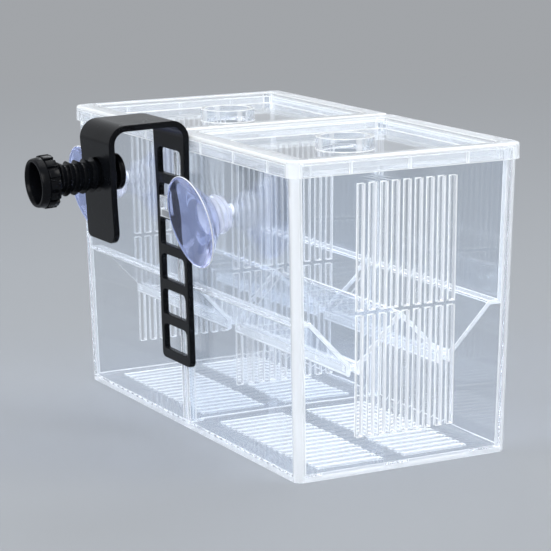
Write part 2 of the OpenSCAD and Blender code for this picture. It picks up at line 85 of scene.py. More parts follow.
class Wire:
    """A shader socket that takes part in sums as a number would."""

    def __init__(self, graph: "Graph", socket: bpy.types.NodeSocket) -> None:
        """Keep the socket and the graph that its Math nodes go to.

        Args:
            graph: The graph that its Math nodes go to.
            socket: The output that it stands for.
        """
        self.graph = graph
        self.socket = socket

    def _maths(self, operation: str, other: "Wire | Number") -> "Wire":
        """Add one Math node.

        Args:
            operation: The Math node's operation.
            other: The second operand.

        Returns:
            The node's result.
        """
        return self.graph.add("ShaderNodeMath", {"operation": operation}, {0: self, 1: other})

    def __add__(self, other: "Wire | Number") -> "Wire":
        """Sum of two values.

        Args:
            other: The value to add.

        Returns:
            The sum.
        """
        return self._maths("ADD", other)

    def __radd__(self, other: Number) -> "Wire":
        """Sum with a number in front.

        Args:
            other: The number in front.

        Returns:
            The sum.
        """
        return self._maths("ADD", other)

    def __mul__(self, other: "Wire | Number") -> "Wire":
        """Product of two values.

        Args:
            other: The value to multiply by.

        Returns:
            The product.
        """
        return self._maths("MULTIPLY", other)

    def __rmul__(self, other: Number) -> "Wire":
        """Product with a number in front.

        Args:
            other: The number in front.

        Returns:
            The product.
        """
        return self._maths("MULTIPLY", other)

    def above(self, low: Number, high: Number) -> "Wire":
        """Ramp from 0 at low to 1 at high, held between 0 and 1.

        Args:
            low: Value where the ramp starts.
            high: Value where it ends.

        Returns:
            The ramp.
        """
        return self.graph.add(
            "ShaderNodeMapRange",
            {"clamp": True},
            {"Value": self, "From Min": low, "From Max": high, "To Min": 0.0, "To Max": 1.0},
        )


class Graph:
    """The node tree of one material."""

    def __init__(self, name: str) -> None:
        """Make an empty material of that name.

        Args:
            name: The material's name.
        """
        self.material = bpy.data.materials.new(name)
        self.material.use_nodes = True
        self.tree = self.material.node_tree
        self.tree.nodes.clear()

    def node(
        self,
        kind: str,
        settings: dict[str, Any] | None = None,
        values: dict[str | int, Any] | None = None,
    ) -> bpy.types.Node:
        """Add a node.

        Args:
            kind: Its bl_idname.
            settings: Properties to set first.
            values: Sockets by name or place, each a value or a Wire.

        Returns:
            The new node.
        """
        made = self.tree.nodes.new(kind)
        for key, value in (settings or {}).items():
            setattr(made, key, value)
        for key, value in (values or {}).items():
            socket = made.inputs[key]
            if isinstance(value, Wire):
                self.tree.links.new(value.socket, socket)
            else:
                socket.default_value = value
        return made

    def add(
        self,
        kind: str,
        settings: dict[str, Any] | None = None,
        values: dict[str | int, Any] | None = None,
        output: str | int = 0,
    ) -> Wire:
        """Add a node and take one of its outputs.

        Args:
            kind: The node's bl_idname.
            settings: Properties to set first.
            values: Values or links of its sockets.
            output: Name or place of the output.

        Returns:
            That output as a Wire.
        """
        return Wire(self, self.node(kind, settings, values).outputs[output])

    def place(self, stretch: Sequence[float] = (1.0, 1.0, 1.0)) -> Wire:
        """Object coordinates, stretched by the given scale.

        Args:
            stretch: Scale along X, Y and Z.

        Returns:
            The coordinates.
        """
        where = self.add("ShaderNodeTexCoord", output="Object")
        return self.add("ShaderNodeMapping", {}, {"Vector": where, "Scale": tuple(stretch)})

    def noise(self, where: Wire, scale: float, detail: float = 2.0, rough: float = 0.5) -> Wire:
        """Noise texture's value at the given place.

        Args:
            where: Coordinates.
            scale: Size of the pattern, where more is finer.
            detail: Number of finer layers.
            rough: Strength of the finer layers.

        Returns:
            A value round 0.5.
        """
        return self.add(
            "ShaderNodeTexNoise",
            {},
            {"Vector": where, "Scale": scale, "Detail": detail, "Roughness": rough},
        )

    def blend(self, share: Wire, first: Colour, second: Colour) -> Wire:
        """Colour between two colours by a share from 0 to 1.

        Args:
            share: The second colour's share.
            first: Colour at 0.
            second: Colour at 1.

        Returns:
            The colour.
        """
        return self.add(
            "ShaderNodeMix",
            {"data_type": "RGBA"},
            {"Factor": share, 6: (*first, 1.0), 7: (*second, 1.0)},
            output=2,
        )

    def bump(self, height: Wire, strength: float, distance: float) -> Wire:
        """Normal bent by a height.

        Args:
            height: The height, from 0 to 1.
            strength: How far it bends the normal.
            distance: Height in metres that 1 stands for.

        Returns:
            The normal.
        """
        return self.add(
            "ShaderNodeBump", {}, {"Height": height, "Strength": strength, "Distance": distance}
        )

    def output(self, shader: Wire) -> None:
        """Send a shader to the surface.

        Args:
            shader: The shader.
        """
        self.node("ShaderNodeOutputMaterial", {}, {"Surface": shader})

    def output_see_through(self, shader: Wire, tint: Colour) -> None:
        """Send a clear shader to the surface, and let lamps through it by a tint.

        Args:
            shader: The clear shader.
            tint: Share of the light of each colour that passes.
        """
        shadow = self.add("ShaderNodeLightPath", output="Is Shadow Ray")
        open_way = self.add("ShaderNodeBsdfTransparent", {}, {"Color": (*tint, 1.0)})
        self.output(
            self.add("ShaderNodeMixShader", {}, {0: shadow, 1: shader, 2: open_way})
        )


# ---------------------------------------------------------------- finishes


@dataclass(frozen=True)
class Finish:
    """What all finishes share: a name and a material made the first time it is asked for."""

    name: str

    def lay_out(self, graph: Graph) -> None:
        """Fill the material's graph.

        Args:
            graph: The material's graph.
        """
        raise NotImplementedError

    def material(self) -> bpy.types.Material:
        """Return the finish's material.

        Returns:
            The material.
        """
        known = bpy.data.materials.get(self.name)
        if known is None:
            graph = Graph(self.name)
            self.lay_out(graph)
            known = graph.material
        return known


@dataclass(frozen=True)
class ClearPlastic(Finish):
    """Clear moulded plastic with faint flow ripples, smears and fine wear."""

    tint: Colour = (0.955, 0.975, 1.0)
    shade: Colour = (0.95, 0.96, 0.98)
    # Below 1, the rest is a whitish diffuse share, which the edge, side, band, corner, neck and lip
    # finishes use as painted brightness
    clear: float = 1.0
    ior: float = 1.49
    smooth: float = 0.015
    smear: float = 0.05
    ripple: float = 0.015

    def lay_out(self, graph: Graph) -> None:
        """Clear shader whose roughness and normal vary, with lamps let through.

        Args:
            graph: The material's graph.
        """
        where = graph.place()
        flow = graph.noise(graph.place((1.0, 1.0, 2.5)), 22.0, 2.0)
        smear = graph.noise(where, 60.0, 4.0, 0.6).above(0.52, 0.75)
        wear = graph.noise(graph.place((1.0, 1.0, 9.0)), 240.0, 3.0, 0.7).above(0.66, 0.78)
        shader = graph.add(
            "ShaderNodeBsdfPrincipled",
            {},
            {
                "Base Color": (*self.tint, 1.0),
                "Transmission Weight": self.clear,
                "IOR": self.ior,
                "Roughness": self.smooth + self.smear * smear + 0.08 * wear,
                "Normal": graph.bump(flow, self.ripple, 0.0006),
            },
        )
        graph.output_see_through(shader, self.shade)


@dataclass(frozen=True)
class BlackPlastic(Finish):
    """Black moulded plastic with a soft sheen, fine grain and rubbed high spots."""

    dark: Colour = (0.002, 0.0022, 0.003)
    worn: Colour = (0.006, 0.007, 0.009)
    smooth: float = 0.17
    grain: float = 0.08

    def lay_out(self, graph: Graph) -> None:
        """Dark shader whose colour, roughness and normal vary.

        Args:
            graph: The material's graph.
        """
        where = graph.place()
        cloud = graph.noise(where, 55.0, 4.0, 0.6)
        grain = graph.noise(where, 1900.0, 2.0, 0.5)
        scuff = graph.noise(graph.place((1.0, 6.0, 1.0)), 300.0, 3.0, 0.7).above(0.62, 0.8)
        shader = graph.add(
            "ShaderNodeBsdfPrincipled",
            {},
            {
                "Base Color": graph.blend(cloud.above(0.35, 0.75), self.dark, self.worn),
                "Roughness": self.smooth + 0.12 * cloud + 0.12 * scuff,
                "Specular IOR Level": 0.12,
                "Normal": graph.bump(grain + 0.6 * cloud, self.grain, 0.0002),
            },
        )
        graph.output(shader)


@dataclass(frozen=True)
class StageFloor(Finish):
    """Plain pale floor, matt near the object and of one even tone further out."""

    colour: Colour = (0.36, 0.375, 0.395)
    near: float = 0.35
    far: float = 1.3

    def lay_out(self, graph: Graph) -> None:
        """Matt shader that gives way to an even tone with the distance from the object.

        Args:
            graph: The material's graph.
        """
        matt = graph.add(
            "ShaderNodeBsdfPrincipled",
            {},
            {"Base Color": (*self.colour, 1.0), "Roughness": 0.9, "Specular IOR Level": 0.1},
        )
        even = graph.add("ShaderNodeEmission", {}, {"Color": (*self.colour, 1.0), "Strength": 1.0})
        where = graph.add("ShaderNodeTexCoord", output="Object")
        reach = graph.add(
            "ShaderNodeVectorMath", {"operation": "LENGTH"}, {0: where}, output="Value"
        )
        rays = graph.node("ShaderNodeLightPath")
        seen = (
            Wire(graph, rays.outputs["Is Camera Ray"])
            + Wire(graph, rays.outputs["Is Glossy Ray"])
            + Wire(graph, rays.outputs["Is Transmission Ray"])
        ).above(0.0, 1.0)
        share = seen * reach.above(self.near, self.far)
        graph.output(graph.add("ShaderNodeMixShader", {}, {0: share, 1: matt, 2: even}))


class Slot(Enum):
    """Material slots of the record."""

    ACRYLIC = "clear_acrylic"
    BLACK = "black_plastic"
    VINYL = "clear_vinyl"


ACRYLIC = ClearPlastic("polished_clear_acrylic")
# The edge, side, band and corner finishes let less through and show a whitish share: painted brightness
# standing in for the light that gathers in the edges and walls of a clear sheet
ACRYLIC_EDGE_PAINTED_BRIGHT = ClearPlastic(
    "acrylic_edge_painted_bright", tint=(0.975, 0.99, 1.0), clear=0.20, smooth=0.10, smear=0.05
)
ACRYLIC_SIDE_PAINTED_BRIGHT = ClearPlastic(
    "acrylic_side_painted_bright", tint=(0.96, 0.98, 1.0), clear=0.62, smooth=0.05, smear=0.08
)
ACRYLIC_BAND_PAINTED_BRIGHT = ClearPlastic(
    "acrylic_band_painted_bright", tint=(0.96, 0.98, 1.0), clear=0.76, smooth=0.03, smear=0.08
)
ACRYLIC_CORNER_PAINTED_BRIGHT = ClearPlastic(
    "acrylic_corner_painted_bright", tint=(0.96, 0.98, 1.0), clear=0.40, smooth=0.05, smear=0.08
)
VINYL = ClearPlastic(
    "soft_blue_clear_vinyl",
    tint=(0.60, 0.66, 0.97),
    shade=(0.74, 0.80, 0.96),
    clear=0.97,
    ior=1.44,
    smooth=0.04,
    smear=0.06,
    ripple=0.03,
)
# Neck and peg: a near-white tint and a whitish diffuse share, painted whiteness standing in for the glassy
# white look that light gives the ribbed neck
VINYL_NECK_PAINTED_WHITISH = ClearPlastic(
    "thick_vinyl_painted_whitish",
    tint=(0.93, 0.95, 1.0),
    shade=(0.80, 0.86, 0.97),
    clear=0.72,
    ior=1.46,
    smooth=0.05,
    smear=0.08,
    ripple=0.05,
)
# Lip: almost all white diffuse, a painted highlight line standing in for the bright edge that light gives
# the thin vinyl lip
VINYL_LIP_PAINTED_WHITE = ClearPlastic(
    "vinyl_lip_painted_white",
    tint=(0.97, 0.98, 1.0),
    shade=(0.80, 0.86, 0.97),
    clear=0.10,
    ior=1.46,
    smooth=0.10,
    smear=0.10,
    ripple=0.03,
)
BLACK = BlackPlastic("black_moulded_plastic")


# ---------------------------------------------------------------- mesh helpers


def new_piece(name: str, mesh: bpy.types.Mesh, finishes: Iterable[Finish]) -> bpy.types.Object:
    """Make an object of a mesh and give it its finishes.

    Args:
        name: The piece's name.
        mesh: Its mesh, with its place in it.
        finishes: One finish for each material slot.

    Returns:
        The new object, at the origin.
    """
    chosen = [face.material_index for face in mesh.polygons]
    mesh.materials.clear()
    for finish in finishes:
        mesh.materials.append(finish.material())
    mesh.polygons.foreach_set("material_index", chosen)
    made = bpy.data.objects.new(name, mesh)
    bpy.context.scene.collection.objects.link(made)
    return made


def baked(piece: bpy.types.Object) -> bpy.types.Object:
    """Turn a piece's modifiers into plain mesh and take them off.

    Args:
        piece: The piece.

    Returns:
        The same piece.
    """
    graph = bpy.context.evaluated_depsgraph_get()
    mesh = bpy.data.meshes.new_from_object(piece.evaluated_get(graph), depsgraph=graph)
    mesh.name = piece.name
    piece.modifiers.clear()
    piece.data = mesh
    return piece


def shade_by_angle(mesh: bpy.types.Mesh, degrees: float = 32.0) -> None:
    """Shade a mesh smooth except over edges sharper than an angle.

    Args:
        mesh: The mesh.
        degrees: Angle above which an edge stays sharp.
    """
    mesh.shade_smooth()
    mesh.set_sharp_from_angle(angle=math.radians(degrees))


def flat_faces_flat(piece: bpy.types.Object) -> None:
    """Bake a piece's modifiers with normals led by its large faces, so that flats stay flat.

    Args:
        piece: The piece.
    """
    baked(piece)
    shade_by_angle(piece.data, 25.0)
    leading = piece.modifiers.new("flat_faces_lead", "WEIGHTED_NORMAL")
    leading.mode = "FACE_AREA"
    leading.weight = 100
    leading.keep_sharp = True
    baked(piece)


def solid_shape(node: str) -> tuple[bpy.types.Mesh, bmesh.types.BMesh]:
    """Copy a solid's mesh, with its flat faces whole.

    Args:
        node: The solid's node.

    Returns:
        The copy and its editable shape, which isn't written back yet.
    """
    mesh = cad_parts[node].data.copy()
    shape = bmesh.new()
    shape.from_mesh(mesh)
    bmesh.ops.remove_doubles(shape, verts=shape.verts, dist=SAME_PLACE)
    bmesh.ops.dissolve_limit(
        shape,
        angle_limit=math.radians(0.6),
        use_dissolve_boundaries=False,
        verts=shape.verts,
        edges=shape.edges,
    )
    return mesh, shape


def round_edges(
    piece: bpy.types.Object, width: float, segments: int, degrees: float = 40.0, clamp: bool = False
) -> bpy.types.BevelModifier:
    """Round a piece's sharp edges.

    Args:
        piece: The piece.
        width: Width of the rounding.
        segments: Number of its steps.
        degrees: Angle above which an edge is rounded.
        clamp: True where roundings that would meet are made narrower.

    Returns:
        The modifier.
    """
    rounding = piece.modifiers.new("rounded_edges", "BEVEL")
    rounding.width = width
    rounding.segments = segments
    rounding.limit_method = "ANGLE"
    rounding.angle_limit = math.radians(degrees)
    rounding.use_clamp_overlap = clamp
    return rounding


def settle(piece: bpy.types.Object, body: str, slot: Slot, nodes: Sequence[str] = ()) -> None:
    """Tell the frame what a piece rides on, and hide the solids that it stands for.

    Args:
        piece: The finished piece.
        body: The body that it moves with.
        slot: Its material slot in the record; not used.
        nodes: The solids that it stands for.
    """
    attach(piece, body)
    if nodes:
        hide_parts(*nodes)
    LOG.info("%s: %d faces, rides on %s", piece.name, len(piece.data.polygons), body)


def turned(
    name: str,
    profile: Sequence[tuple[float, float]],
    place: Matrix,
    sides: int,
    finishes: Iterable[Finish],
    dress: Callable[[int], int] = lambda band: 0,
) -> bpy.types.Object:
    """Turn a closed section round its axis.

    Args:
        name: The piece's name.
        profile: Points of radius and distance along the axis, from axis to axis.
        place: Where the axis's start and direction go.
        sides: Number of steps round the axis.
        finishes: Its finishes.
        dress: Gives the finish of each band between two points of the section.

    Returns:
        The turned piece.
    """
    shape = bmesh.new()
    rings: list[list[bmesh.types.BMVert]] = []
    for radius, along in profile:
        angles = [2 * math.pi * k / sides for k in range(sides)] if radius > 0 else [0.0]
        around = [Vector((radius * math.cos(a), radius * math.sin(a), along)) for a in angles]
        rings.append([shape.verts.new(place @ point) for point in around])
    for band, (one, two) in enumerate(zip(rings, rings[1:])):
        for k in range(sides):
            m = (k + 1) % sides
            corners = [one[k % len(one)], one[m % len(one)], two[m % len(two)], two[k % len(two)]]
            unique = list(dict.fromkeys(corners))
            if len(unique) > 2:
                shape.faces.new(unique).material_index = dress(band)
    bmesh.ops.recalc_face_normals(shape, faces=shape.faces)
    mesh = bpy.data.meshes.new(name)
    shape.to_mesh(mesh)
    shape.free()
    return new_piece(name, mesh, finishes)


# ---------------------------------------------------------------- geometry node trees


class Shaper:
    """A Geometry Nodes tree with named inputs that ends in Realize Instances and Set Material."""

    def __init__(self, name: str, inputs: dict[str, tuple[str, Any]]) -> None:
        """Make the tree.

        Args:
            name: The tree's name.
            inputs: Name of each input, with its socket type and its value.
        """
        self.tree = bpy.data.node_groups.new(name, "GeometryNodeTree")
        self.tree.interface.new_socket("Geometry", in_out="INPUT", socket_type="NodeSocketGeometry")
        self.values: dict[str, Any] = {}
        for key, (kind, value) in inputs.items():
            socket = self.tree.interface.new_socket(key, in_out="INPUT", socket_type=kind)
            self.values[socket.identifier] = value
        self.tree.interface.new_socket(
            "Geometry", in_out="OUTPUT", socket_type="NodeSocketGeometry"
        )
        self.inlet = self.tree.nodes.new("NodeGroupInput")

    def node(
        self,
        kind: str,
        settings: dict[str, Any] | None = None,
        values: dict[str | int, Any] | None = None,
    ) -> bpy.types.Node:
        """Add a node.

        Args:
            kind: Its bl_idname.
            settings: Properties to set first.
            values: Sockets, each a value or a socket to link from.

        Returns:
            The new node.
        """
        made = self.tree.nodes.new(kind)
        for key, value in (settings or {}).items():
            setattr(made, key, value)
        for key, value in (values or {}).items():
            if isinstance(value, bpy.types.NodeSocket):
                self.tree.links.new(value, made.inputs[key])
            else:
                made.inputs[key].default_value = value
        return made

    def maths(self, operation: str, *values: Any) -> bpy.types.NodeSocket:
        """Result of one Math node.

        Args:
            operation: The Math node's operation.
            *values: Its operands.

        Returns:
            The result.
        """
        return self.node(
            "ShaderNodeMath", {"operation": operation}, dict(enumerate(values))
        ).outputs[0]

    def finish(self, geometry: bpy.types.NodeSocket, finish: Finish) -> None:
        """End the tree: real instances, one finish, and out.

        Args:
            geometry: What the tree has made.
            finish: Its finish.
        """
        real = self.node("GeometryNodeRealizeInstances", {}, {"Geometry": geometry})
        dressed = self.node(
            "GeometryNodeSetMaterial",
            {},
            {"Geometry": real.outputs[0], "Material": finish.material()},
        )
        outlet = self.tree.nodes.new("NodeGroupOutput")
        self.tree.links.new(dressed.outputs[0], outlet.inputs[0])

    def shaped(self, name: str, place: Matrix) -> bpy.types.Object:
        """Run the tree on an empty mesh.

        Args:
            name: The new piece's name.
            place: Where the tree's own frame goes.

        Returns:
            The piece as plain mesh, at the origin.
        """
        holder = bpy.data.objects.new(name, bpy.data.meshes.new(name))
        bpy.context.scene.collection.objects.link(holder)
        modifier = holder.modifiers.new("shaper", "NODES")
        modifier.node_group = self.tree
        for identifier, value in self.values.items():
            modifier[identifier] = value
        baked(holder)
        holder.data.transform(place)
        shape = bmesh.new()
        shape.from_mesh(holder.data)
        bmesh.ops.remove_doubles(shape, verts=shape.verts, dist=1e-7)
        bmesh.ops.recalc_face_normals(shape, faces=shape.faces)
        shape.to_mesh(holder.data)
        shape.free()
        return holder


# ---------------------------------------------------------------- clear mouldings


class Part(IntEnum):
    """Parts of a clear moulding, in the order of its material slots."""

    PANEL = 0
    EDGE = 1
    SIDE = 2
    BAND = 3
    CORNER = 4


MOULDING_FINISHES = (ACRYLIC, ACRYLIC_EDGE_PAINTED_BRIGHT, ACRYLIC_SIDE_PAINTED_BRIGHT, ACRYLIC_BAND_PAINTED_BRIGHT, ACRYLIC_CORNER_PAINTED_BRIGHT)


@dataclass
class ClearMoulding:
    """One clear acrylic moulding with rounded edges, dressed with painted brightness on its edges, sides,
    bands and outer corners.

    A flat patch narrower than gleam, narrow or banded is an edge, a side or a band. Outer
    corners stand beyond corner in X and Y, and all walls are sides up to the height of foot.
    """

    node: str
    body: str
    edge: float = 0.3 * MM
    gleam: float = 0.5 * MM
    narrow: float = 2.6 * MM
    banded: float = 2.6 * MM
    corner: tuple[float, float] = (1.0, 1.0)
    foot: float = 0.0

    def part_of(self, patch: Sequence[bmesh.types.BMFace]) -> Part:
        """Sort a flat patch, so that the sides, bands and corners, where light gathers in a clear sheet,
        get painted brightness.

        Args:
            patch: Faces that lie in one plane and touch each other.

        Returns:
            The part of the moulding that the patch belongs to.
        """
        own = set(patch)
        rim = sum(
            edge.calc_length()
            for face in patch
            for edge in face.edges
            if not own.issuperset(edge.link_faces)
        )
        width = 2 * sum(face.calc_area() for face in patch) / max(rim, 1e-9)
        normal, middle = patch[0].normal, patch[0].calc_center_median()
        upright = abs(normal.z) < 0.5
        if upright and abs(normal.x) > 0.1 and abs(normal.y) > 0.1:
            outer = abs(middle.x) > self.corner[0] and abs(middle.y) > self.corner[1]
            return Part.CORNER if outer else Part.PANEL
        if width < self.gleam:
            return Part.EDGE
        if width < self.narrow or (upright and max(v.co.z for v in patch[0].verts) <= self.foot):
            return Part.SIDE
        return Part.BAND if width < self.banded else Part.PANEL

    def on_foot_line(self, edge: bmesh.types.BMEdge) -> bool:
        """Tell whether an edge lies where the foot ends.

        Args:
            edge: An edge of the moulding.

        Returns:
            True where it does.
        """
        return self.foot > 0 and all(abs(v.co.z - self.foot) < SAME_PLACE for v in edge.verts)

    def patches(self, shape: bmesh.types.BMesh) -> Iterator[list[bmesh.types.BMFace]]:
        """Gather the faces into patches.

        Args:
            shape: The moulding's mesh.

        Yields:
            Faces that touch each other in one plane, on one side of the foot's line.
        """
        flat = math.radians(1.0)
        waiting = set(shape.faces)
        while waiting:
            patch = [waiting.pop()]
            for face in patch:
                for edge in face.edges:
                    if edge.calc_face_angle(1.0) < flat and not self.on_foot_line(edge):
                        found = waiting.intersection(edge.link_faces)
                        patch.extend(found)
                        waiting -= found
            yield patch

    def build(self) -> bpy.types.Object:
        """Copy the solid's mesh, round its edges and dress it.

        Returns:
            The finished moulding.
        """
        mesh, shape = solid_shape(self.node)
        if self.foot:
            bmesh.ops.bisect_plane(
                shape,
                geom=[*shape.verts, *shape.edges, *shape.faces],
                dist=SAME_PLACE,
                plane_co=(0, 0, self.foot),
                plane_no=(0, 0, 1),
            )
        # Each part but the panel gets a whitish finish: painted brightness for the light that gathers in a
        # clear sheet
        for patch in self.patches(shape):
            part = self.part_of(patch)
            for face in patch:
                face.material_index = part
        # Whole faces that ring an opening would fold over it once their edges are rounded
        bmesh.ops.triangulate(shape, faces=[face for face in shape.faces if len(face.verts) > 4])
        shape.to_mesh(mesh)
        shape.free()
        piece = new_piece(f"{self.node}_moulding", mesh, MOULDING_FINISHES)
        # The rounded edges take the edge finish, painted bright
        round_edges(piece, self.edge, 2).material = Part.EDGE
        flat_faces_flat(piece)
        settle(piece, self.body, Slot.ACRYLIC, (self.node,))
        return piece


# ---------------------------------------------------------------- suction cups


@dataclass
class SuctionCup:
    """Soft vinyl cup with a ribbed neck and a peg in the tank's wall."""

    name: str
    node: str
    body: str
    across: float
    wall_y: float = -48.69 * MM
    height: float = 96.4 * MM
    droop: float = 11.0
    reach: float = 17 * MM
    radius: float = 18.2 * MM
    neck: float = 7.8 * MM
    hollow: float = 5.2 * MM
    peg: float = 2.5 * MM
    peg_depth: float = 1.9 * MM

    def section(self) -> list[tuple[float, float]]:
        """Points of the cup's section, from the wall end to the bottom of the hollow.

        Returns:
            Radius and distance from the wall of each point.
        """
        n, r, top = self.neck, self.radius, self.reach
        low = top - self.hollow
        outside = [
            (0.0, 1.3 * MM), (0.5 * n, 1.3 * MM), (0.66 * n, 1.45 * MM), (0.80 * n, 2.0 * MM),
            (0.90 * n, 2.7 * MM), (0.85 * n, 3.2 * MM), (0.87 * n, 3.6 * MM), (0.99 * n, 4.3 * MM),
            (1.00 * n, 4.9 * MM), (0.90 * n, 5.5 * MM), (0.90 * n, 5.9 * MM), (1.0 * n, 6.5 * MM),
            (0.99 * n, 7.2 * MM), (0.88 * n, 7.9 * MM), (0.88 * n, 8.5 * MM),
        ]
        flare = [(0.52, 0.47), (0.62, 0.36), (0.74, 0.255), (0.86, 0.145), (0.95, 0.06)]
        outside += [(r * a, top - top * b) for a, b in flare]
        rim = [(r, top - 0.35 * MM), (r - 0.02 * MM, top - 0.12 * MM), (r - 0.25 * MM, top)]
        inside = [
            (0.94 * r, top - 0.07 * self.hollow), (0.84 * r, top - 0.22 * self.hollow),
            (0.72 * r, top - 0.40 * self.hollow), (0.58 * r, top - 0.62 * self.hollow),
            (0.44 * r, top - 0.82 * self.hollow), (0.32 * r, low + 0.03 * self.hollow),
            (0.26 * r, low), (0.24 * r, low - 0.25 * MM), (0.16 * r, low - 0.35 * MM),
            (0.0, low - 0.35 * MM),
        ]
        return outside + rim + inside

    def build(self) -> bpy.types.Object:
        """Turn the cup, set its peg and dress it.

        Returns:
            The finished cup.
        """
        root = Matrix.Translation((self.across, self.wall_y, self.height))
        out = Matrix.Rotation(math.radians(90), 4, "X")
        tip = Matrix.Rotation(math.radians(90 + self.droop), 4, "X")
        section = self.section()
        ribs = sum(1 for radius, along in section if along < self.reach * 0.52) - 1
        lip = [k for k, (radius, along) in enumerate(section) if radius > 0.96 * self.radius]
        # Neck bands take the painted whitish neck finish and lip bands the painted white highlight line
        cup = turned(
            self.name,
            section,
            root @ tip,
            96,
            (VINYL, VINYL_NECK_PAINTED_WHITISH, VINYL_LIP_PAINTED_WHITE),
            lambda band: 1 if band < ribs else 2 if lip[0] <= band < lip[-1] else 0,
        )
        peg = turned(
            f"{self.name}_peg",
            [
                (0.0, -self.peg_depth), (self.peg * 0.85, -self.peg_depth),
                (self.peg, -self.peg_depth + 0.4 * MM), (self.peg, 2.2 * MM), (0.0, 2.2 * MM),
            ],
            root @ out,
            48,
            (VINYL_NECK_PAINTED_WHITISH,),
        )
        shade_by_angle(cup.data, 60.0)
        shade_by_angle(peg.data, 35.0)
        settle(cup, self.body, Slot.VINYL, (self.node,))
        settle(peg, self.body, Slot.VINYL)
        return cup


# ---------------------------------------------------------------- bracket and clamp


@dataclass
class HangingBracket:
    """Black ladder bracket with rounded edges."""

    node: str = "hanging_bracket"
    body: str = "bracket"
    edge: float = 0.45 * MM

    def build(self) -> bpy.types.Object:
        """Copy the solid's mesh, round its edges and dress it.

        Returns:
            The finished bracket.
        """
        mesh, shape = solid_shape(self.node)
        shape.to_mesh(mesh)
        shape.free()
        piece = new_piece("ladder_bracket", mesh, (BLACK,))
        round_edges(piece, self.edge, 3)
        flat_faces_flat(piece)
        settle(piece, self.body, Slot.BLACK, (self.node,))
        return piece


